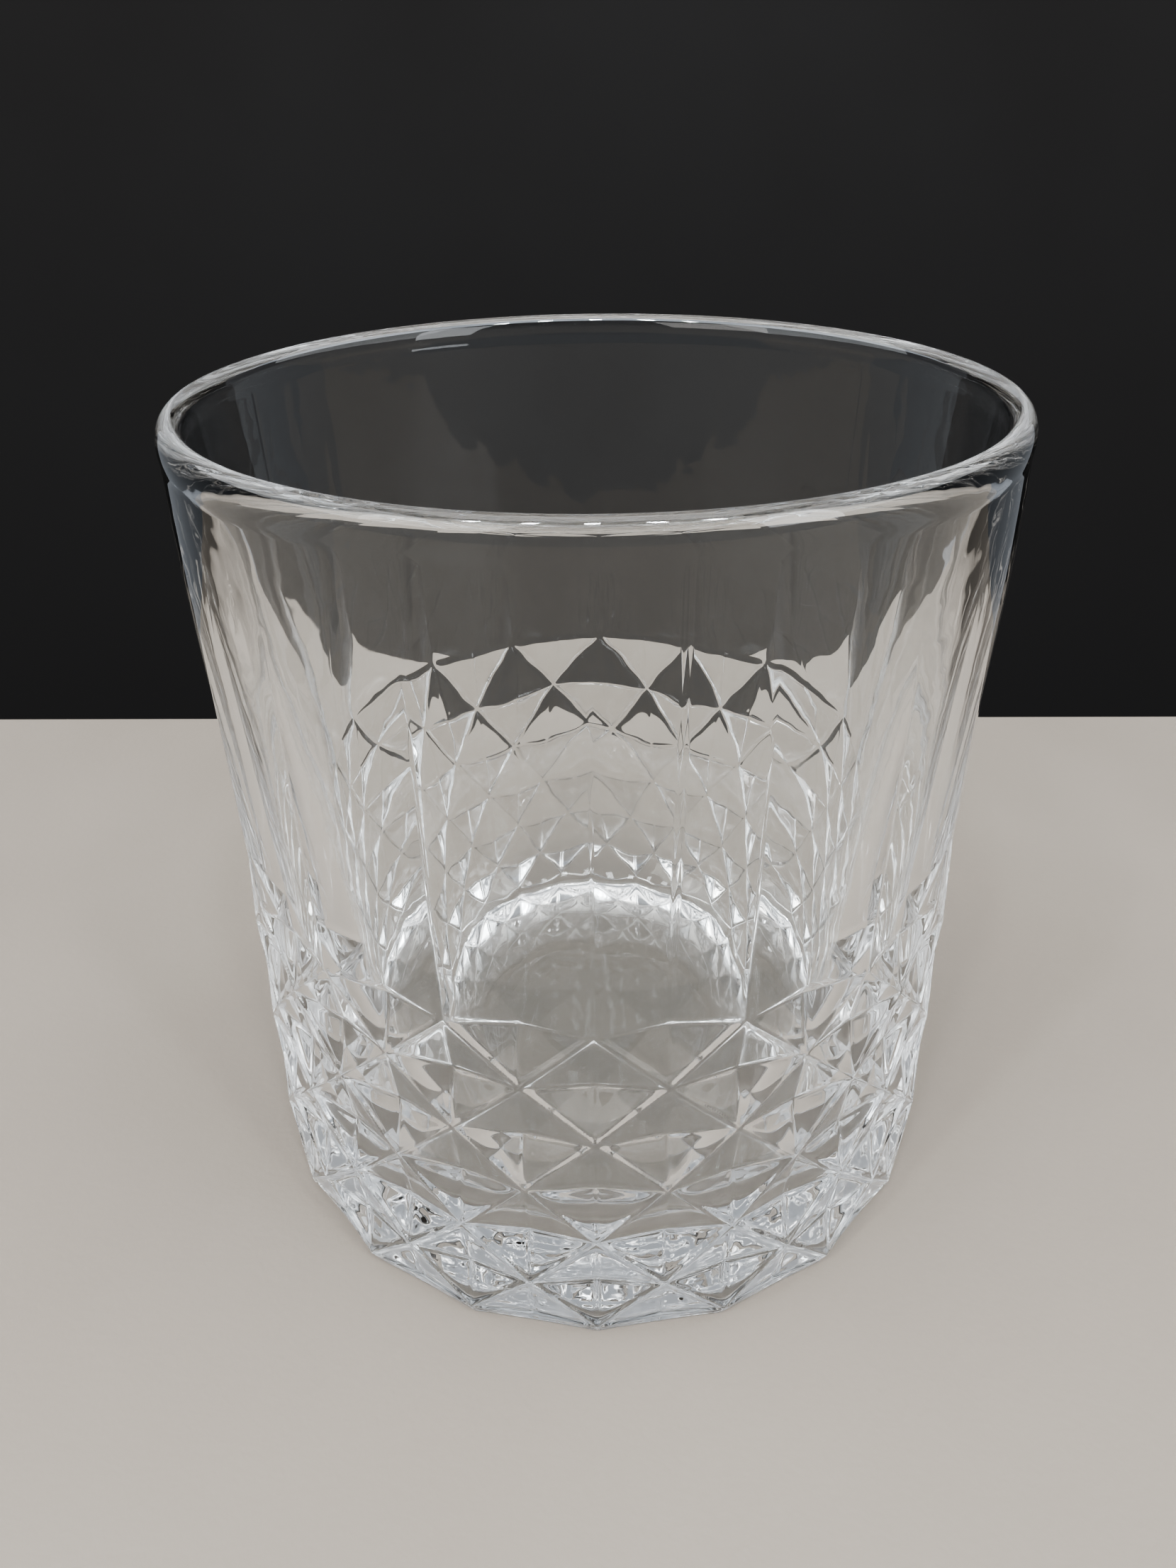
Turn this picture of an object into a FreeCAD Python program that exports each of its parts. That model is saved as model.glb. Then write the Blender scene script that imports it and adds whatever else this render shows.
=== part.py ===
import FreeCAD, Part
import math
import os
import Sketcher

# Pressed-glass tumbler, made as one piece. Millimetres. Origin: centre of the resting plane. +Z: up the axis.

SIZES = {
    "rim_radius": 44.0,            # outside of the mouth
    "total_height": 95.6,
    "rim_thickness": 2.75,         # the rim is fully rounded
    "floor_height": 8.0,           # height of the cavity floor above the resting plane
    "cavity_floor_radius": 33.5,   # cavity wall carried down to the floor
    "floor_fillet": 11.0,
    "bearing_inner_radius": 33.0,  # inside edge of the ring the glass stands on
    "base_hollow": 1.2,            # depth of the dish under the base
    "columns": 18,                 # facet columns round the glass
    "levels": 7,                   # rows of facet corners
    "lowest_level": 1.8,           # height of the lowest row
    "level_pitch": 7.2,
    "corner_radius": 42.8,         # facet corners are the high points
    "lowest_corner_radius": 42.3,
    "standing_corner_radius": 41.4,
    "facet_recess": 0.5,           # facet centres, inside the chord between two corners
    "top_edge_lift": 0.4,          # rise of the topmost facet edge between two corners
    "flute_end_height": 88.0,      # the flutes have run out here
    "flute_end_radius": 44.2,
    "overshoot": 4.0,              # how far the envelope runs past the blank, above, below and at the rim
}

START, END, CENTRE = 1, 2, 3
ORIGIN_POINT = (-1, 1)
HORIZONTAL_AXIS, VERTICAL_AXIS = -1, -2
TOLERANCE = 1e-4
HALF_WAY_RISE = 0.75   # share of its height that a shallow arc still has half-way out


def make_sheet(doc):
    """Put every size in a spreadsheet cell under its own name."""
    sheet = doc.addObject("Spreadsheet::Sheet", "Sizes")
    for row, (name, value) in enumerate(SIZES.items(), start=1):
        sheet.set("A%d" % row, name)
        sheet.set("B%d" % row, str(value))
        sheet.setAlias("B%d" % row, name)
    doc.recompute()
    return sheet


def origin_plane(body, role):
    """The body's own origin plane with the given role."""
    return next(item for item in body.Origin.OriginFeatures if item.Role == role)


def section_points(sheet):
    """Corners of the half section, going round from the hollow under the base."""
    lip_radius = sheet.rim_thickness / 2
    lip_height = sheet.total_height - lip_radius
    return {
        "hollow_axis": (0, sheet.base_hollow),
        "bearing_edge": (sheet.bearing_inner_radius, 0),
        "wall_foot": (sheet.rim_radius, 0),
        "wall_top": (sheet.rim_radius, lip_height),
        "lip_top": (sheet.rim_radius - lip_radius, sheet.total_height),
        "lip_inside": (sheet.rim_radius - sheet.rim_thickness, lip_height),
        "floor_corner": (sheet.cavity_floor_radius, sheet.floor_height),
        "floor_axis": (0, sheet.floor_height),
    }


def draw_section(sketch, sheet):
    """Draw the half section and return its edges by name."""
    at = {name: FreeCAD.Vector(x, z, 0) for name, (x, z) in section_points(sheet).items()}
    lip_radius = sheet.rim_thickness / 2
    lip_centre = at["lip_top"] - FreeCAD.Vector(0, lip_radius, 0)
    across = lip_radius * math.sqrt(0.5)
    outer_middle = lip_centre + FreeCAD.Vector(across, across, 0)
    inner_middle = lip_centre + FreeCAD.Vector(-across, across, 0)
    half_way = sheet.bearing_inner_radius / 2
    hollow_middle = FreeCAD.Vector(half_way, sheet.base_hollow * HALF_WAY_RISE, 0)
    curves = {
        "hollow": Part.Arc(at["hollow_axis"], hollow_middle, at["bearing_edge"]),
        "bearing": Part.LineSegment(at["bearing_edge"], at["wall_foot"]),
        "wall": Part.LineSegment(at["wall_foot"], at["wall_top"]),
        "lip_outer": Part.Arc(at["wall_top"], outer_middle, at["lip_top"]),
        "lip_inner": Part.Arc(at["lip_top"], inner_middle, at["lip_inside"]),
        "bore": Part.LineSegment(at["lip_inside"], at["floor_corner"]),
        "floor": Part.LineSegment(at["floor_corner"], at["floor_axis"]),
        "axis": Part.LineSegment(at["floor_axis"], at["hollow_axis"]),
    }
    return {name: sketch.addGeometry(curve, False) for name, curve in curves.items()}


def arc_ends(sketch, edge, first_point):
    """End numbers of an edge in drawing order: an arc may be stored the other way round."""
    if sketch.getPoint(edge, START).distanceToPoint(first_point) < TOLERANCE:
        return START, END
    return END, START


def bind_section(sketch, sheet, edges):
    """Close the section and tie its corners to the spreadsheet."""
    corners = section_points(sheet)
    ends = {}
    for name, corner in zip(edges, corners):
        x, z = corners[corner]
        ends[name] = arc_ends(sketch, edges[name], FreeCAD.Vector(x, z, 0))

    names = list(edges)
    for name, following in zip(names, names[1:] + names[:1]):
        sketch.addConstraint(Sketcher.Constraint(
            "Coincident", edges[name], ends[name][1], edges[following], ends[following][0]))

    def on_axis(name, position, axis):
        sketch.addConstraint(Sketcher.Constraint("PointOnObject", edges[name], position, axis))

    def measured(kind, name, position, value, label, expression):
        index = sketch.addConstraint(Sketcher.Constraint(
            kind, *ORIGIN_POINT, edges[name], position, value))
        sketch.renameConstraint(index, label)
        sketch.setExpression("Constraints." + label, expression)

    on_axis("hollow", ends["hollow"][0], VERTICAL_AXIS)
    on_axis("hollow", CENTRE, VERTICAL_AXIS)
    on_axis("bearing", START, HORIZONTAL_AXIS)
    on_axis("wall", START, HORIZONTAL_AXIS)
    on_axis("axis", START, VERTICAL_AXIS)

    lip_height = "Sizes.total_height - Sizes.rim_thickness / 2"
    lip_inside = "Sizes.rim_radius - Sizes.rim_thickness"
    lip_middle = "Sizes.rim_radius - Sizes.rim_thickness / 2"
    bindings = [
        ("DistanceY", "hollow", ends["hollow"][0], "hollow_depth", "Sizes.base_hollow"),
        ("DistanceX", "bearing", START, "bearing_inside", "Sizes.bearing_inner_radius"),
        ("DistanceX", "wall", START, "wall_outside", "Sizes.rim_radius"),
        ("DistanceX", "wall", END, "wall_outside_top", "Sizes.rim_radius"),
        ("DistanceY", "wall", END, "lip_start_height", lip_height),
        ("DistanceX", "bore", START, "lip_inside", lip_inside),
        ("DistanceY", "bore", START, "lip_end_height", lip_height),
        ("DistanceX", "lip_outer", ends["lip_outer"][1], "lip_top_radius", lip_middle),
        ("DistanceY", "lip_outer", ends["lip_outer"][1], "lip_top_height", "Sizes.total_height"),
        ("DistanceY", "lip_outer", CENTRE, "lip_outer_centre", lip_height),
        ("DistanceY", "lip_inner", CENTRE, "lip_inner_centre", lip_height),
        ("DistanceX", "bore", END, "floor_outside", "Sizes.cavity_floor_radius"),
        ("DistanceY", "bore", END, "floor_level", "Sizes.floor_height"),
        ("DistanceY", "floor", END, "floor_level_axis", "Sizes.floor_height"),
    ]
    for kind, name, position, label, expression in bindings:
        point = sketch.getPoint(edges[name], position)
        measured(kind, name, position, point.x if kind == "DistanceX" else point.y, label, expression)


def floor_edge_name(shape, sheet):
    """Name of the circular edge where the cavity wall meets the floor."""
    for number, edge in enumerate(shape.Edges, start=1):
        box = edge.BoundBox
        errors = (box.ZMin - sheet.floor_height, box.ZMax - sheet.floor_height,
                  box.XMax - sheet.cavity_floor_radius)
        if max(abs(error) for error in errors) < TOLERANCE:
            return "Edge%d" % number
    raise RuntimeError("no edge found at the cavity floor")


def make_blank(doc, sheet):
    """The glass before faceting: a revolved section with a filleted cavity floor."""
    body = doc.addObject("PartDesign::Body", "Blank")
    body.Label = "smooth_blank"
    sketch = body.newObject("Sketcher::SketchObject", "BlankSection")
    sketch.AttachmentSupport = [(origin_plane(body, "XZ_Plane"), "")]
    sketch.MapMode = "FlatFace"
    doc.recompute()
    edges = draw_section(sketch, sheet)
    bind_section(sketch, sheet, edges)
    doc.recompute()

    turn = body.newObject("PartDesign::Revolution", "BlankTurn")
    turn.Profile = sketch
    turn.ReferenceAxis = (sketch, ["V_Axis"])
    turn.Angle = 360
    doc.recompute()

    fillet = body.newObject("PartDesign::Fillet", "FloorFillet")
    fillet.Base = (turn, [floor_edge_name(turn.Shape, sheet)])
    fillet.setExpression("Radius", "Sizes.floor_fillet")
    body.Tip = fillet
    doc.recompute()
    return body


def ring(sheet, corner_radius, inner_radius, height, corner_parity, lift=0.0):
    """Points round the glass at half-column steps, facet corners and facet centres in turn."""
    steps = 2 * int(sheet.columns)
    points = []
    for step in range(steps):
        is_corner = step % 2 == corner_parity
        radius = corner_radius if is_corner else inner_radius
        angle = 2 * math.pi * step / steps - math.pi / 2
        z = height if is_corner else height + lift
        points.append(FreeCAD.Vector(radius * math.cos(angle), radius * math.sin(angle), z))
    return points


def recessed(sheet, corner_radius):
    """Radius of a facet centre between two corners at the given radius."""
    return corner_radius * math.cos(math.pi / sheet.columns) - sheet.facet_recess


def envelope_rings(sheet):
    """Rings from below the base to above the rim, with the parity of their corners."""
    slope = (sheet.lowest_corner_radius - sheet.standing_corner_radius) / sheet.lowest_level
    below = sheet.standing_corner_radius - slope * sheet.overshoot
    rings = [(ring(sheet, below, recessed(sheet, below), -sheet.overshoot, 0), 1)]
    top = int(sheet.levels) - 1
    for level in range(top + 1):
        radius = sheet.lowest_corner_radius if level == 0 else sheet.corner_radius
        height = sheet.lowest_level + level * sheet.level_pitch
        lift = sheet.top_edge_lift if level == top else 0.0
        rings.append((ring(sheet, radius, recessed(sheet, radius), height, level % 2, lift), level % 2))
    even = sheet.flute_end_radius
    rings.append((ring(sheet, even, even, sheet.flute_end_height, 1), 1))
    flared = even + sheet.overshoot
    rings.append((ring(sheet, flared, flared, sheet.total_height + sheet.overshoot, 0), 0))
    return rings


def triangle(first, second, third):
    """A flat three-sided face."""
    return Part.Face(Part.makePolygon([first, second, third, first]))


def band(lower, upper, corner_parity):
    """Faces between two rings, creased from each facet corner below to the next one above."""
    faces = []
    count = len(lower)
    for step in range(count):
        following = (step + 1) % count
        low, low_next = lower[step], lower[following]
        high, high_next = upper[step], upper[following]
        if step % 2 == corner_parity:
            faces.append(triangle(low, low_next, high_next))
            faces.append(triangle(low, high_next, high))
        else:
            faces.append(triangle(low, low_next, high))
            faces.append(triangle(low_next, high_next, high))
    return faces


def make_envelope(doc, sheet):
    """The faceted outside as a solid: diamonds below, flutes above that run out under the rim."""
    rings = envelope_rings(sheet)
    faces = []
    for (lower, parity), (upper, _) in zip(rings, rings[1:]):
        faces.extend(band(lower, upper, parity))
    for points, _ in (rings[0], rings[-1]):
        faces.append(Part.Face(Part.makePolygon(points + points[:1])))
    solid = Part.makeSolid(Part.makeShell(faces))
    if solid.Volume < 0:
        solid.reverse()
    envelope = doc.addObject("Part::Feature", "Envelope")
    envelope.Label = "facet_envelope"
    envelope.Shape = solid
    envelope.Placement = FreeCAD.Placement()
    return envelope


def make_tumbler(doc, blank, envelope):
    """The finished glass: the blank held inside the faceted envelope."""
    tumbler = doc.addObject("Part::Common", "tumbler")
    tumbler.Label = "tumbler"
    tumbler.Base = blank
    tumbler.Tool = envelope
    doc.recompute()
    if not 0 < tumbler.Shape.Volume < blank.Shape.Volume:
        raise RuntimeError("the envelope cut nothing away from the blank")
    return tumbler


def check(doc, parts):
    """Stop on any failed feature, or on a missing or invalid shape."""
    for item in doc.Objects:
        if "Invalid" in item.State or "Error" in item.State:
            raise RuntimeError("feature failed: " + item.Name)
    for part in parts:
        if part.Shape.isNull() or not part.Shape.isValid():
            raise RuntimeError("bad shape: " + part.Label)
        if len(part.Shape.Solids) != 1:
            raise RuntimeError("not a single solid: " + part.Label)


def main():
    os.makedirs("parts", exist_ok=True)
    doc = FreeCAD.newDocument("Tumbler")
    sheet = make_sheet(doc)
    blank = make_blank(doc, sheet)
    envelope = make_envelope(doc, sheet)
    parts = [make_tumbler(doc, blank, envelope)]
    doc.recompute()
    check(doc, parts)
    for part in parts:
        part.Shape.exportStep(os.path.join("parts", part.Label + ".step"))
        box = part.Shape.optimalBoundingBox(False, False)
        print(part.Label, "faces", len(part.Shape.Faces), "volume", round(part.Shape.Volume),
              "size", round(box.XLength, 2), round(box.YLength, 2), round(box.ZLength, 2),
              "lowest", round(box.ZMin, 3))


main()
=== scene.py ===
import math

import bpy
import numpy as np
from mathutils import Matrix, Vector


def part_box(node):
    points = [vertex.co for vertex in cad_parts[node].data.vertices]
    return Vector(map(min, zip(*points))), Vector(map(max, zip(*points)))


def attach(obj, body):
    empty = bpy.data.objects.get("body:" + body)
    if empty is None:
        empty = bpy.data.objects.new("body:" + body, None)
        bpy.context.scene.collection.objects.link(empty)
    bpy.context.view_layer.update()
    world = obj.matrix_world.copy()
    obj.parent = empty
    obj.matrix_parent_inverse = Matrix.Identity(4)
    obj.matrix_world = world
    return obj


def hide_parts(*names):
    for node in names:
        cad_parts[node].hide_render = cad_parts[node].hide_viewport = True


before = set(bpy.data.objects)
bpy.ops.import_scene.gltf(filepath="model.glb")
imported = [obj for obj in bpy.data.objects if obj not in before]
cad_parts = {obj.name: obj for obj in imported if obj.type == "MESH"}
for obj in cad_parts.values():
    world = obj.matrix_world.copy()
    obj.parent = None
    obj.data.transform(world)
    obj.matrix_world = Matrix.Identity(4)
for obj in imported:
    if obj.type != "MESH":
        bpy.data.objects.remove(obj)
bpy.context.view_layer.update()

# Clear pressed-glass tumbler on a pale tabletop, in metres, in the CAD's frame.

LOW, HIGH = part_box("tumbler")
RIM_RADIUS = (HIGH.x - LOW.x) / 2
HEIGHT = HIGH.z - LOW.z

# Lengths are written in millimetres of the glass as designed, and the frame sets their scale.
DESIGN_RIM_RADIUS = 44.0
MM = RIM_RADIUS / DESIGN_RIM_RADIUS

# The glass, with the sizes of the CAD part
COLUMNS = 18
LEVELS = 7
LOWEST_LEVEL = 1.8 * MM
LEVEL_PITCH = 7.2 * MM
CORNER_RADIUS = 42.8 * MM
LOWEST_CORNER_RADIUS = 42.3 * MM
STANDING_RADIUS = 41.4 * MM
FACET_RECESS = 0.5 * MM
TOP_EDGE_LIFT = 0.4 * MM
FLUTE_END = 88.0 * MM
FLUTE_END_RADIUS = 44.2 * MM
RIM_THICKNESS = 2.75 * MM
FLOOR_HEIGHT = 8.0 * MM
CAVITY_FLOOR_RADIUS = 33.5 * MM
FLOOR_FILLET = 11.0 * MM
BEARING_INNER_RADIUS = 33.0 * MM
BASE_HOLLOW = 1.2 * MM

# Finer shape that only the visual model has
FOOT_ROUND = 0.5 * MM
LAND = 0.02                   # half-width of the flat top of a ridge, from ridge to facet centre
SHOULDER = 0.045              # how quickly a facet falls away beside the ridge, on the same scale
FACET_SCOOP = 0.18 * MM
FOOT_RECESS = 0.1 * MM        # the foot is nearly straight between its corners
CREASE_DEPTH, CREASE_WIDTH = 0.16 * MM, 0.25 * MM
EDGE_SOFTNESS = 0.4           # rounding of the creases, in grid steps
FOOT_SOFTNESS = 4.0           # and of the corners at the foot
FOOT_SOFT_HEIGHT = 1.3 * MM
FLUTE_BLEND = 2.0 * MM        # height over which the flutes leave the topmost facets
FLUTE_FADE = 0.12 * MM        # over this depth the flutes run out into the round wall
BEAD_STEP = 0.14 * MM         # the rim's bead stands this far outside the wall below it
BEAD_RISE = 2.3 * MM          # from the widest part of the bead to its top
BEAD_DROP = 3.0 * MM          # how far down the bead's curve would reach below that part
KNOB_HEIGHT, KNOB_RADIUS, KNOB_LEVEL = 0.16 * MM, 0.9 * MM, 1.0 * MM
SEAM_HEIGHT = 0.06 * MM
MOULD_PARTS = 3
FIRST_SEAM = math.pi / COLUMNS   # angle from the front
WAVE_DEPTH = 0.12 * MM        # unevenness of the pressed inside
WAVE_COUNT = 16
WAVE_SEED = 7
LEAST_TURNS = 2               # fewest waves round the glass
STREAK_TURNS, STREAK_RUNS = 34, 1.2   # on the wall, fewer waves than this round the glass and up it
FLOOR_TURNS, FLOOR_RUNS = 7, 3.0      # on the floor, fewer than this round it and out from the middle
RIPPLE_DEPTH, RIPPLE_WIDTH = 0.03 * MM, 3.4 * MM
WALL_RADIUS = RIM_RADIUS - BEAD_STEP  # of the round wall between the flutes and the bead
BLUR_REACH = 3                # where a blur is cut off, in times its softness

# Grid: steps across half a column and up one level, then rows in each plainer part
CELL_STEPS = 28
SIDES = 2 * COLUMNS * CELL_STEPS
HOLLOW_ROWS, BEARING_ROWS, FOOT_ROWS, SKIRT_ROWS = 12, 8, 6, 7
FLUTE_ROWS, WALL_ROWS, LIP_ROWS = 60, 8, 30
BORE_ROWS, FILLET_ROWS, FLOOR_ROWS = 60, 24, 36

# Camera, with its lens and sensor in millimetres and its place from the glass's size
LENS = 28.04
SENSOR_LENGTH = 36.0
CAMERA_DISTANCE = 2.952 * RIM_RADIUS
CAMERA_HEIGHT = 2.812 * RIM_RADIUS
CAMERA_SIDE = -0.028 * RIM_RADIUS
CAMERA_PITCH = math.radians(30.32)
CAMERA_ROLL = math.radians(-0.76)
CAMERA_ORBIT = math.radians(1.36)
CLIP_START = RIM_RADIUS / 20

# Materials, with the depth of their relief in metres
GLASS_INDEX = 1.51
GLASS_TINTS = (0.97, 0.985, 0.985), (0.985, 0.99, 0.99)
GLASS_HAZE = 0.025
GLASS_RELIEF = 0.00004
TABLE_TINTS = (0.27, 0.235, 0.20), (0.32, 0.285, 0.245)
TABLE_ROUGHNESS = 0.5, 0.65
TABLE_RELIEF = 0.00005
BACKDROP_TINTS = (0.010, 0.009, 0.0085), (0.018, 0.016, 0.015)
BACKDROP_ROUGHNESS = 0.75, 0.9
NOISE_LOW, NOISE_HIGH = 0.35, 0.65    # the range that a noise mostly stays in

# Setting, in metres
TABLE_BACK = 2.53 * RIM_RADIUS
TABLE_FRONT = -0.5
TABLE_HALF_WIDTH = 0.9
TABLE_GAP = 0.1 * MM
SLAB_THICKNESS = 0.03
SLAB_ROUNDING = 0.0008
SLAB_ROUNDING_SEGMENTS = 3
BACKDROP_DISTANCE = 0.7
BACKDROP_HALF_WIDTH = 0.55
BACKDROP_LOW, BACKDROP_HIGH = -0.4, 0.25
ROOM_COLOUR = (0.86, 0.92, 1.0, 1)
ROOM_STRENGTH = 0.36

# Soft lights: name, place, width and height in metres, power in watts, colour
SOFT_LIGHTS = [
    ("front_left", (-0.9, -1.0, 0.9), (0.9, 0.7), 6, (1.0, 0.98, 0.95)),
    ("front_right", (1.0, -0.8, 0.7), (0.5, 0.9), 6, (0.94, 0.97, 1.0)),
    ("overhead", (0.0, 0.0, 1.3), (1.2, 1.0), 7, (1.0, 0.99, 0.97)),
    ("left", (-1.1, -0.1, 0.85), (1.4, 0.8), 8, (0.93, 0.97, 1.0)),
    ("right", (1.1, 0.0, 0.85), (1.4, 0.8), 7, (0.95, 0.98, 1.0)),
]

# A row of small lamps, for glints
LAMP_COUNT = 5
LAMP_SPACING = 0.28
LAMP_ROW = -0.7, 1.2          # y and z of the row
LAMP_SIZE = 0.07, 0.16
LAMP_POWER = 2.6
LAMP_COLOUR = (0.93, 0.96, 1.0)

# Light paths: a ray crosses many surfaces inside faceted glass
MOST_BOUNCES = 24
MOST_REFLECTIONS = 12


# ---------------------------------------------------------------- shape of the glass

def fine_angles():
    """Angle of every grid column, starting at the front."""
    return 2 * math.pi * np.arange(SIDES) / SIDES - math.pi / 2


def rings(radii, heights):
    """Round rows of the grid at the given radii and heights."""
    radii, heights = np.broadcast_arrays(np.atleast_1d(radii), np.atleast_1d(heights))
    angle = fine_angles()[None, :]
    radius = radii[:, None]
    height = heights[:, None] + 0 * angle
    return np.stack([radius * np.cos(angle), radius * np.sin(angle), height], axis=-1)


def distance_from_axis(grid):
    """Radius of every grid point, kept as a last axis of one."""
    return np.linalg.norm(grid[..., :2], axis=-1, keepdims=True)


def with_radius(grid, radius):
    """The grid with every point moved to the given radius at its own angle and height."""
    moved = grid.copy()
    moved[..., :2] *= radius / distance_from_axis(grid)
    return moved


def facet_centre_radius(corner_radius, recess=FACET_RECESS):
    """Radius of a facet centre between two corners."""
    return corner_radius * math.cos(math.pi / COLUMNS) - recess


def corner_ring(corner_radius, height, parity, lift=0.0, recess=FACET_RECESS):
    """Facet corners with recessed facet centres between them, half a column apart."""
    step = np.arange(2 * COLUMNS)
    angle = math.pi * step / COLUMNS - math.pi / 2
    is_corner = step % 2 == parity
    radius = np.where(is_corner, corner_radius, facet_centre_radius(corner_radius, recess))
    z = np.where(is_corner, height, height + lift)
    return np.stack([radius * np.cos(angle), radius * np.sin(angle), z], axis=-1)


def flat_cell(low, low_next, high, high_next, u, v, rising):
    """Two flat triangles across a cell, creased along its rising or falling diagonal."""
    if rising:
        first = low + u * (low_next - low) + v * (high_next - low_next)
        second = low + v * (high - low) + u * (high_next - high)
        return np.where(u >= v, first, second)
    first = low + u * (low_next - low) + v * (high - low)
    second = high_next + (1 - u) * (high - high_next) + (1 - v) * (low_next - high_next)
    return np.where(u + v <= 1, first, second)


def crease(from_ridge, u, v, width, height):
    """Depth of the fine grooves along a cell's four edges, which fade out towards the ridges."""
    nearest = np.minimum(np.minimum(u, 1 - u) * width, np.minimum(v, 1 - v) * height)
    return CREASE_DEPTH * np.exp(-(nearest / CREASE_WIDTH) ** 2) * np.sqrt(from_ridge)


def band(lower, upper, parity, rows, scoop=0.0):
    """Grid between two rings: ridges from each corner to the next ones above, scooped facets."""
    across = np.arange(CELL_STEPS) / CELL_STEPS
    up = np.arange(rows) / rows
    u, v = (part[..., None] for part in np.meshgrid(across, up))
    cells = []
    for step in range(len(lower)):
        following = (step + 1) % len(lower)
        rising = step % 2 == parity
        cell = flat_cell(lower[step], lower[following], upper[step], upper[following], u, v, rising)
        if scoop:
            from_ridge = np.abs(u - v) if rising else np.abs(1 - u - v)
            depth = scoop * (1 - np.exp(-np.maximum(from_ridge - LAND, 0) / SHOULDER))
            depth += crease(from_ridge, u, v, math.pi * CORNER_RADIUS / COLUMNS, LEVEL_PITCH)
            cell = with_radius(cell, distance_from_axis(cell) - depth)
        cells.append(cell)
    return np.concatenate(cells, axis=1)


def flutes(ring):
    """Scooped flutes over the topmost facets, with ridges above their corners, shallower upwards."""
    base = band(ring, ring, parity=(LEVELS - 1) % 2, rows=1)
    base_radius = distance_from_axis(base)
    share = (np.arange(FLUTE_ROWS) / FLUTE_ROWS)[:, None, None]
    height = base[..., 2:] + share * (FLUTE_END - base[..., 2:])

    half_column = np.arange(SIDES)[None, :, None] / CELL_STEPS
    to_centre = 1 - np.abs(half_column % 2 - 1)
    scoop = 1 - (1 - to_centre) ** 2
    ridge = CORNER_RADIUS + share * (FLUTE_END_RADIUS - CORNER_RADIUS)
    full_depth = CORNER_RADIUS - facet_centre_radius(CORNER_RADIUS)
    scooped = ridge - full_depth * (1 - share) * scoop
    leaving = np.exp(-(height - base[..., 2:]) / FLUTE_BLEND)
    radius = scooped + (base_radius - (CORNER_RADIUS - full_depth * scoop)) * leaving

    grid = with_radius(np.repeat(base, FLUTE_ROWS, axis=0), radius)
    grid[..., 2:] = height
    return grid


def softened(grid, softness):
    """The grid with its creases rounded by a small blur that wraps round the glass."""
    reach = math.ceil(BLUR_REACH * softness)
    offsets = np.arange(-reach, reach + 1)
    weights = np.exp(-0.5 * (offsets / softness) ** 2)
    weights /= weights.sum()
    across = sum(w * np.roll(grid, k, axis=1) for w, k in zip(weights, offsets))
    padded = np.pad(across, ((reach, reach), (0, 0), (0, 0)), mode="reflect", reflect_type="odd")
    return sum(w * padded[reach + k:reach + k + len(grid)] for w, k in zip(weights, offsets))


def softened_to_foot(grid):
    """The grid with fine creases, and with rounder corners close to the foot."""
    fine, coarse = softened(grid, EDGE_SOFTNESS), softened(grid, FOOT_SOFTNESS)
    share = np.exp(-(grid[..., 2:] / FOOT_SOFT_HEIGHT) ** 2)
    return with_radius(fine, distance_from_axis(fine) * (1 - share) + distance_from_axis(coarse) * share)


def capped(grid, limit):
    """The grid with its radius held smoothly under a limit, so the flutes fade out."""
    radius = distance_from_axis(grid)
    return with_radius(grid, limit - FLUTE_FADE * np.logaddexp(0, (limit - radius) / FLUTE_FADE))


def seam_columns():
    """The grid columns on which the parts of the mould met."""
    part = np.arange(MOULD_PARTS) / MOULD_PARTS
    return np.round((FIRST_SEAM / (2 * math.pi) + part) * SIDES).astype(int) % SIDES


def with_seams(grid):
    """The outside with a fine raised line along every mould seam."""
    height = np.zeros((1, SIDES, 1))
    height[:, seam_columns()] = SEAM_HEIGHT
    return with_radius(grid, distance_from_axis(grid) + height)


def with_knobs(grid):
    """The outside with a small knob at every lowest facet corner."""
    column = 2 * math.pi * CORNER_RADIUS / COLUMNS
    along = np.arange(SIDES)[None, :, None] / SIDES * COLUMNS
    sideways = (along - np.round(along)) * column
    from_knob = np.hypot(sideways, grid[..., 2:] - KNOB_LEVEL)
    knob = KNOB_HEIGHT * np.exp(-(from_knob / KNOB_RADIUS) ** 2)
    return with_radius(grid, distance_from_axis(grid) + knob)


def faceted_wall():
    """The outside from just above the foot to the end of the flutes."""
    skirt_share = FOOT_ROUND / LOWEST_LEVEL
    skirt_radius = STANDING_RADIUS + skirt_share * (LOWEST_CORNER_RADIUS - STANDING_RADIUS)
    rings_up = [corner_ring(skirt_radius, FOOT_ROUND, parity=0, recess=FOOT_RECESS)]
    for level in range(LEVELS):
        radius = LOWEST_CORNER_RADIUS if level == 0 else CORNER_RADIUS
        lift = TOP_EDGE_LIFT if level == LEVELS - 1 else 0.0
        rings_up.append(corner_ring(radius, LOWEST_LEVEL + level * LEVEL_PITCH, level % 2, lift))

    skirt, facet_rings = rings_up[:2], rings_up[1:]
    patches = [band(*skirt, parity=1, rows=SKIRT_ROWS)]
    for level, pair in enumerate(zip(facet_rings, facet_rings[1:])):
        patches.append(band(*pair, parity=level % 2, rows=CELL_STEPS, scoop=FACET_SCOOP))
    patches.append(flutes(facet_rings[-1]))
    wall = capped(softened_to_foot(np.concatenate(patches)), WALL_RADIUS)
    return with_seams(with_knobs(wall))


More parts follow.
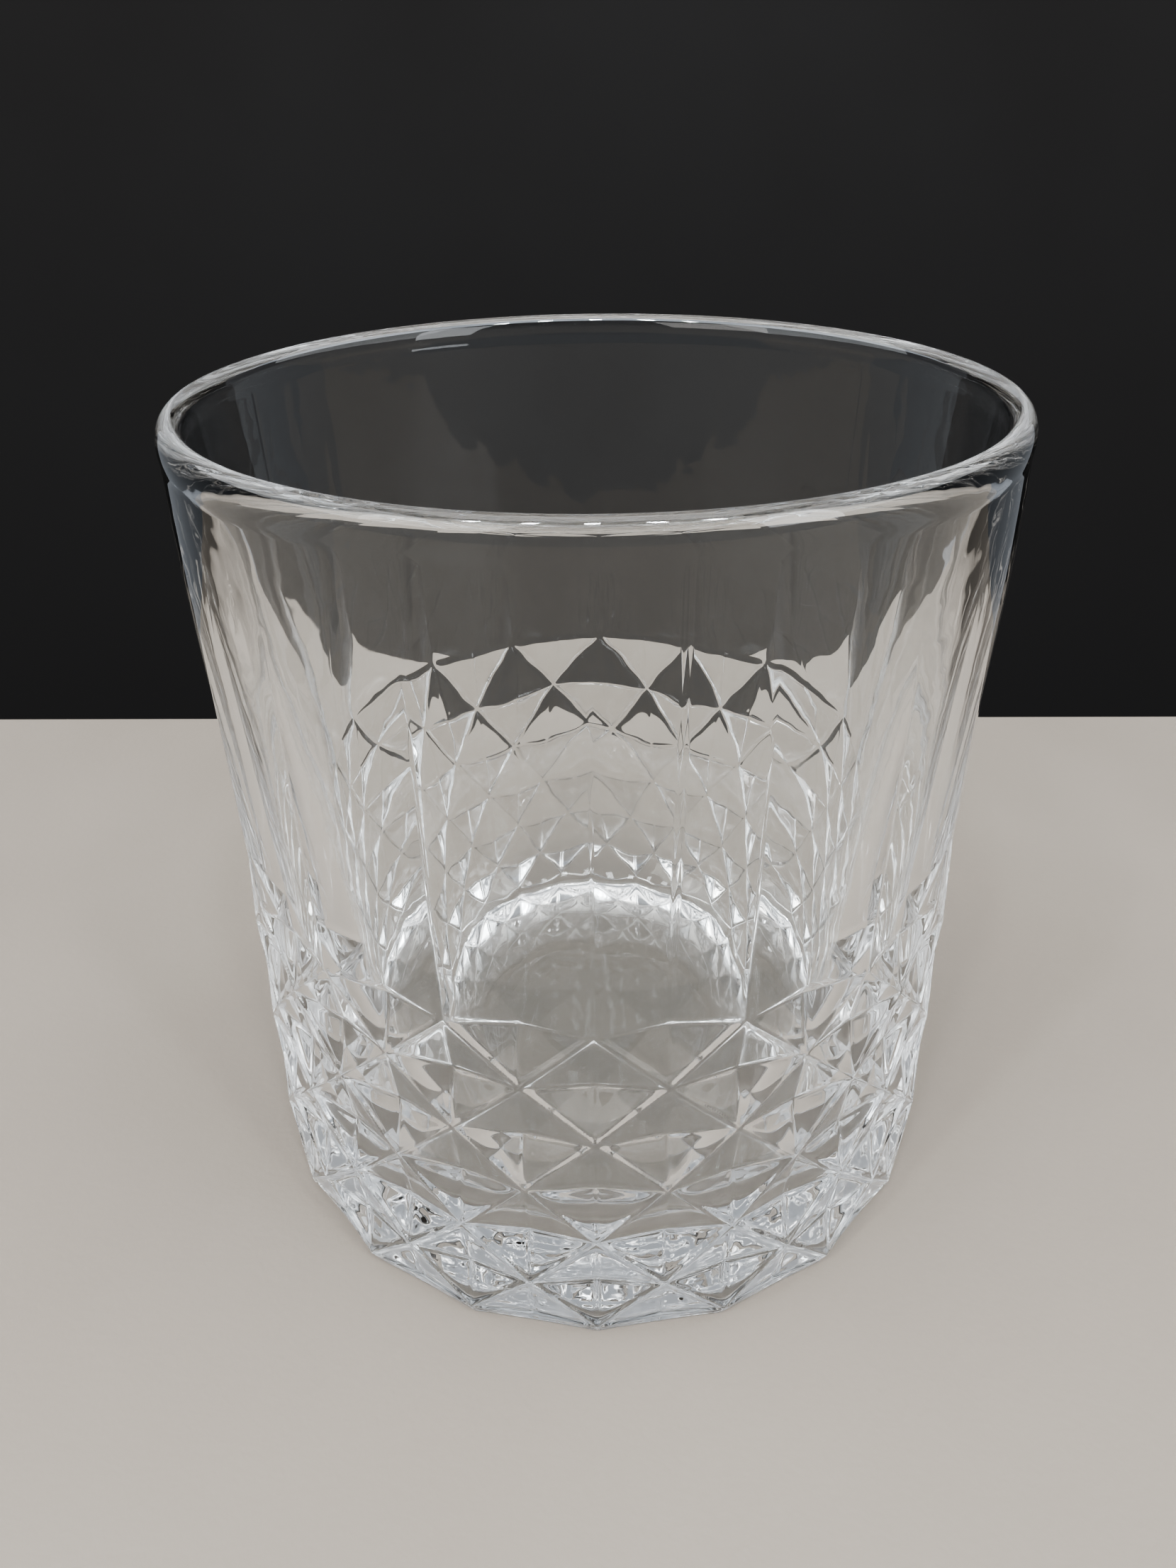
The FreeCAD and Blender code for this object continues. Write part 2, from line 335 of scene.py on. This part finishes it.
def underside(first_row):
    """The dished hollow, the flat bearing ring and the rounded foot up to the wall's first row."""
    share = np.arange(1, HOLLOW_ROWS + 1) / HOLLOW_ROWS
    hollow = rings(BEARING_INNER_RADIUS * share, BASE_HOLLOW * (1 - share ** 2))

    edge_radius = distance_from_axis(first_row)
    outward = first_row[:, :2] / edge_radius
    inset = edge_radius - FOOT_ROUND
    rows = []
    for step in range(1, BEARING_ROWS + 1):
        radius = BEARING_INNER_RADIUS + step / BEARING_ROWS * (inset - BEARING_INNER_RADIUS)
        rows.append(np.concatenate([outward * radius, 0 * radius], axis=-1))
    for step in range(1, FOOT_ROWS):
        turn = math.pi / 2 * step / FOOT_ROWS
        radius = inset + FOOT_ROUND * math.sin(turn)
        height = np.full_like(radius, FOOT_ROUND * (1 - math.cos(turn)))
        rows.append(np.concatenate([outward * radius, height], axis=-1))
    return np.concatenate([hollow, np.stack(rows)])


def lip():
    """The straight wall above the flutes, and the rim's bead from a little under its widest part."""
    reach = RIM_THICKNESS / 2
    centre = RIM_RADIUS - reach
    centre_height = HEIGHT - BEAD_RISE
    start = -math.acos((WALL_RADIUS - centre) / reach)
    bead_foot = centre_height + BEAD_DROP * math.sin(start)
    wall = rings(WALL_RADIUS, np.linspace(FLUTE_END, bead_foot, WALL_ROWS, endpoint=False))
    turn = np.linspace(start, math.pi, LIP_ROWS)
    height = np.where(turn < 0, BEAD_DROP, BEAD_RISE) * np.sin(turn)
    bead = rings(centre + reach * np.cos(turn), centre_height + height)
    return np.concatenate([with_seams(wall), bead])


def waves(rows, turn_limit, run_limit):
    """Slow unevenness over a grid: bumps round the glass and along the rows, from -1 to 1."""
    random = np.random.default_rng(WAVE_SEED)
    angle = fine_angles()[None, :]
    along = np.linspace(0, 1, rows)[:, None]
    total = 0 * angle * along
    for _ in range(WAVE_COUNT):
        turns = random.integers(LEAST_TURNS, turn_limit)
        runs = random.uniform(0, run_limit)
        phase = random.uniform(0, 2 * math.pi)
        total = total + np.cos(turns * angle + 2 * math.pi * runs * along + phase)
    return total / WAVE_COUNT * np.sqrt(np.sin(math.pi * along))


def wavy_bore(heights, slope):
    """The inside wall, with slow streaks as pressed glass has."""
    bore = rings(CAVITY_FLOOR_RADIUS + slope * (heights - FLOOR_HEIGHT), heights)
    streaks = WAVE_DEPTH * waves(len(bore), STREAK_TURNS, STREAK_RUNS)[..., None]
    return with_radius(bore, distance_from_axis(bore) + streaks)


def rippled_floor(edge_radius):
    """The floor from inside its edge to near the axis, gently uneven, with fine round ripples."""
    share = np.arange(FLOOR_ROWS - 1, 0, -1) / FLOOR_ROWS
    floor = rings(edge_radius * share, FLOOR_HEIGHT)
    ripples = np.cos(2 * math.pi * edge_radius * share / RIPPLE_WIDTH) * np.sin(math.pi * share)
    floor[..., 2] += WAVE_DEPTH * waves(len(floor), FLOOR_TURNS, FLOOR_RUNS)
    floor[..., 2] += RIPPLE_DEPTH * ripples[:, None]
    return floor


def cavity():
    """The inside wall, the fillet and the floor, from just under the rim to near the axis."""
    lip_height = HEIGHT - BEAD_RISE
    top_radius = RIM_RADIUS - RIM_THICKNESS
    slope = (top_radius - CAVITY_FLOOR_RADIUS) / (lip_height - FLOOR_HEIGHT)
    taper = math.atan(slope)
    centre_height = FLOOR_HEIGHT + FLOOR_FILLET
    centre_radius = CAVITY_FLOOR_RADIUS + slope * FLOOR_FILLET - FLOOR_FILLET / math.cos(taper)

    bore_end = centre_height - FLOOR_FILLET * math.sin(taper)
    bore = wavy_bore(np.linspace(lip_height, bore_end, BORE_ROWS + 1)[1:], slope)
    turn = np.linspace(-taper, -math.pi / 2, FILLET_ROWS + 1)[1:]
    fillet = rings(centre_radius + FLOOR_FILLET * np.cos(turn), centre_height + FLOOR_FILLET * np.sin(turn))
    return np.concatenate([bore, fillet, rippled_floor(centre_radius)])


def grid_faces(rows):
    """Faces of a closed skin: a pole, the grid's rows, and a pole."""
    column = np.arange(SIDES)
    following = (column + 1) % SIDES
    start = 1 + SIDES * np.arange(rows - 1)[:, None]
    quads = np.stack([start + column, start + following,
                      start + SIDES + following, start + SIDES + column], axis=-1).reshape(-1, 4)
    last = 1 + SIDES * (rows - 1)
    end_pole = last + SIDES
    bottom = [(0, 1 + b, 1 + a) for a, b in zip(column.tolist(), following.tolist())]
    top = [(last + a, last + b, end_pole) for a, b in zip(column.tolist(), following.tolist())]
    return quads.tolist() + bottom + top


def make_glass():
    """The whole glass as one closed mesh."""
    wall = faceted_wall()
    grid = np.concatenate([underside(wall[0]), wall, lip(), cavity()])
    points = np.concatenate([[(0, 0, BASE_HOLLOW)], grid.reshape(-1, 3), [(0, 0, FLOOR_HEIGHT)]])
    mesh = bpy.data.meshes.new("glass_tumbler")
    mesh.from_pydata(points.tolist(), [], grid_faces(len(grid)))
    mesh.shade_smooth()
    glass = bpy.data.objects.new("glass_tumbler", mesh)
    bpy.context.collection.objects.link(glass)
    return glass


# ---------------------------------------------------------------- materials

def new_material(name):
    """A node material with its Principled shader, its nodes and its links."""
    material = bpy.data.materials.new(name)
    material.use_nodes = True
    nodes, links = material.node_tree.nodes, material.node_tree.links
    return material, nodes["Principled BSDF"], nodes, links


def noise(nodes, links, scale, detail):
    """A noise texture in object space, so that its scale is per metre."""
    place = nodes.new("ShaderNodeTexCoord")
    texture = nodes.new("ShaderNodeTexNoise")
    texture.inputs["Scale"].default_value = scale
    texture.inputs["Detail"].default_value = detail
    links.new(place.outputs["Object"], texture.inputs["Vector"])
    return texture.outputs["Fac"]


def ramp(nodes, links, value, low, high):
    """The value remapped from the middle of a noise to between low and high."""
    remap = nodes.new("ShaderNodeMapRange")
    remap.inputs["From Min"].default_value = NOISE_LOW
    remap.inputs["From Max"].default_value = NOISE_HIGH
    remap.inputs["To Min"].default_value = low
    remap.inputs["To Max"].default_value = high
    links.new(value, remap.inputs["Value"])
    return remap.outputs["Result"]


def mix_colours(nodes, links, value, first, second):
    """A colour between two, chosen by the value."""
    mix = nodes.new("ShaderNodeMix")
    mix.data_type = "RGBA"
    mix.inputs["A"].default_value = (*first, 1)
    mix.inputs["B"].default_value = (*second, 1)
    links.new(value, mix.inputs["Factor"])
    return mix.outputs["Result"]


def bump(nodes, links, shader, value, depth):
    """Fine relief of the given depth in metres."""
    relief = nodes.new("ShaderNodeBump")
    relief.inputs["Distance"].default_value = depth
    links.new(value, relief.inputs["Height"])
    links.new(relief.outputs["Normal"], shader.inputs["Normal"])


def clear_glass():
    """Faintly grey-green pressed glass: slight haze in patches and a barely uneven skin."""
    material, shader, nodes, links = new_material("clear_glass")
    shader.inputs["Transmission Weight"].default_value = 1.0
    shader.inputs["IOR"].default_value = GLASS_INDEX
    patches = noise(nodes, links, scale=60, detail=3)
    links.new(mix_colours(nodes, links, patches, *GLASS_TINTS), shader.inputs["Base Color"])
    links.new(ramp(nodes, links, patches, 0.0, GLASS_HAZE), shader.inputs["Roughness"])
    bump(nodes, links, shader, noise(nodes, links, scale=140, detail=2), GLASS_RELIEF)
    return material


def pale_table():
    """Plain pale tabletop with a faint mottle."""
    material, shader, nodes, links = new_material("pale_table")
    mottle = noise(nodes, links, scale=12, detail=5)
    links.new(mix_colours(nodes, links, mottle, *TABLE_TINTS), shader.inputs["Base Color"])
    links.new(ramp(nodes, links, mottle, *TABLE_ROUGHNESS), shader.inputs["Roughness"])
    bump(nodes, links, shader, noise(nodes, links, scale=900, detail=3), TABLE_RELIEF)
    return material


def dark_wall():
    """Plain dark backdrop."""
    material, shader, nodes, links = new_material("dark_wall")
    mottle = noise(nodes, links, scale=3, detail=4)
    links.new(mix_colours(nodes, links, mottle, *BACKDROP_TINTS), shader.inputs["Base Color"])
    links.new(ramp(nodes, links, mottle, *BACKDROP_ROUGHNESS), shader.inputs["Roughness"])
    return material


# ---------------------------------------------------------------- setting

def block(name, low, high, material):
    """A staged box between two corners, with softened edges."""
    corners = [(x, y, z) for x in (low[0], high[0]) for y in (low[1], high[1]) for z in (low[2], high[2])]
    faces = [(0, 1, 3, 2), (4, 6, 7, 5), (0, 4, 5, 1), (2, 3, 7, 6), (0, 2, 6, 4), (1, 5, 7, 3)]
    mesh = bpy.data.meshes.new(name)
    mesh.from_pydata(corners, [], faces)
    mesh.materials.append(material)
    obj = bpy.data.objects.new(name, mesh)
    bpy.context.collection.objects.link(obj)
    rounding = obj.modifiers.new("rounding", "BEVEL")
    rounding.width = SLAB_ROUNDING
    rounding.segments = SLAB_ROUNDING_SEGMENTS
    return obj


def make_setting():
    """The tabletop, which ends a little behind the glass, and a dark wall further back."""
    table = block("tabletop", (-TABLE_HALF_WIDTH, TABLE_FRONT, -TABLE_GAP - SLAB_THICKNESS),
                  (TABLE_HALF_WIDTH, TABLE_BACK, -TABLE_GAP), pale_table())
    wall = block("backdrop", (-BACKDROP_HALF_WIDTH, BACKDROP_DISTANCE, BACKDROP_LOW),
                 (BACKDROP_HALF_WIDTH, BACKDROP_DISTANCE + SLAB_THICKNESS, BACKDROP_HIGH), dark_wall())
    return table, wall


def soft_light(name, place, size, power, colour):
    """A rectangular soft light aimed at the glass, seen in the glass but not by the camera."""
    data = bpy.data.lights.new(name, "AREA")
    data.shape = "RECTANGLE"
    data.size, data.size_y = size
    data.energy = power
    data.color = colour
    light = bpy.data.objects.new(name, data)
    light.location = place
    aim = Vector((0, 0, HEIGHT / 2)) - Vector(place)
    light.rotation_euler = aim.to_track_quat("-Z", "Y").to_euler()
    light.visible_camera = False
    bpy.context.collection.objects.link(light)


def make_lights():
    """Large soft lights round the glass and a row of small lamps."""
    for light in SOFT_LIGHTS:
        soft_light(*light)
    for number in range(LAMP_COUNT):
        across = (number - (LAMP_COUNT - 1) / 2) * LAMP_SPACING
        soft_light("lamp_%d" % number, (across, *LAMP_ROW), LAMP_SIZE, LAMP_POWER, LAMP_COLOUR)


def make_room():
    """Even, faintly blue light from all round."""
    world = bpy.data.worlds.new("room")
    world.use_nodes = True
    room = world.node_tree.nodes["Background"]
    room.inputs["Color"].default_value = ROOM_COLOUR
    room.inputs["Strength"].default_value = ROOM_STRENGTH
    bpy.context.scene.world = world


def make_camera():
    """The photograph's viewpoint, turned about the axis so that a facet column faces -Y."""
    orbit = Matrix.Rotation(CAMERA_ORBIT, 3, "Z")
    place = orbit @ Vector((CAMERA_SIDE, -CAMERA_DISTANCE, CAMERA_HEIGHT))
    ahead = orbit @ Vector((0, math.cos(CAMERA_PITCH), -math.sin(CAMERA_PITCH)))
    right = orbit @ Vector((1, 0, 0))
    above = right.cross(ahead)
    rolled_right = math.cos(CAMERA_ROLL) * right + math.sin(CAMERA_ROLL) * above
    rolled_above = rolled_right.cross(ahead)
    data = bpy.data.cameras.new("camera")
    data.sensor_width = SENSOR_LENGTH
    data.lens = LENS
    data.clip_start = CLIP_START
    camera = bpy.data.objects.new("camera", data)
    axes = Matrix((rolled_right, rolled_above, -ahead)).transposed()
    camera.matrix_world = Matrix.Translation(place) @ axes.to_4x4()
    bpy.context.collection.objects.link(camera)
    bpy.context.scene.camera = camera


glass = make_glass()
glass.data.materials.append(clear_glass())
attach(glass, "root")
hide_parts("tumbler")
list(make_setting())
make_lights()
make_room()
make_camera()

bpy.context.scene.view_settings.look = "AgX - High Contrast"
light_paths = bpy.context.scene.cycles
light_paths.max_bounces = MOST_BOUNCES
light_paths.transmission_bounces = MOST_BOUNCES
light_paths.glossy_bounces = MOST_REFLECTIONS
